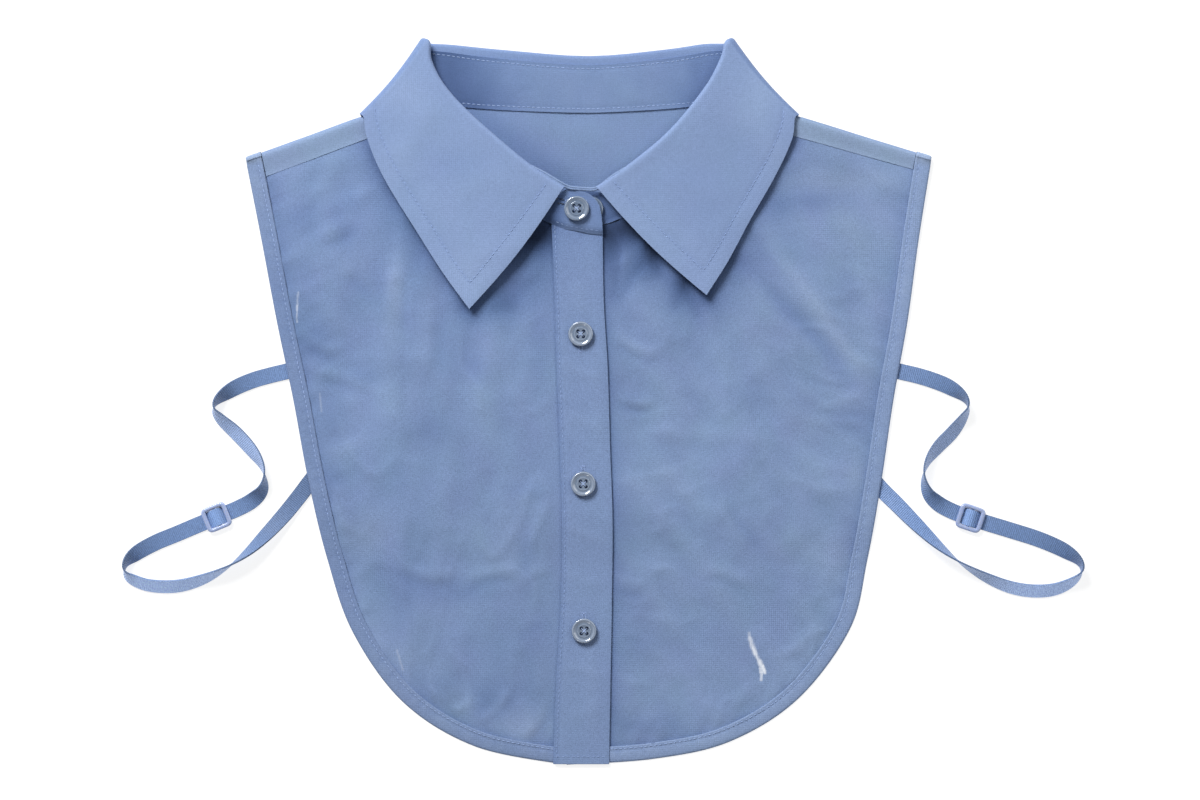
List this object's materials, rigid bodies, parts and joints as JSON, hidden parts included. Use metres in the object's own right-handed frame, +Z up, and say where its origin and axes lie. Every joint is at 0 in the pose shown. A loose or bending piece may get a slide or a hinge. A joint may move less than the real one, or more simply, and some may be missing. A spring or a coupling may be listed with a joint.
{
  "type": "detachable shirt collar",
  "caption": "Detachable shirt collar laid flat: pointed collar on a stand, buttoned front bib with placket, short back bib and adjustable side elastics.",
  "frame": {"origin": "centre of the garment's own box, without its side elastics, on the surface it lies on", "axes": "+X to the wearer's left side, +Y towards the neck, +Z up from the surface; the front lies on top"},
  "size_m": [0.4807, 0.3619, 0.0105],
  "materials": {
    "shirting": "plain-weave cotton, steel blue, softly creased",
    "collar_cloth": "the same cotton, fused and smooth",
    "elastic": "woven elastic ribbon with a slight sheen",
    "slider": "light blue moulded plastic, satin",
    "button": "smoke grey translucent resin, polished"
  },
  "bodies": {
    "root": {"front_left": "shirting", "front_right": "shirting", "back_panel": "shirting", "binding_left": "shirting", "binding_right": "shirting", "placket": "shirting", "collar_stand": "collar_cloth", "collar_fall": "collar_cloth", "button_stand": "button", "button_under": "button", "button_2": "button", "button_3": "button", "button_4": "button", "strap_left": "elastic", "strap_right": "elastic", "slider_left": "slider", "slider_right": "slider"}
  },
  "joints": []
}
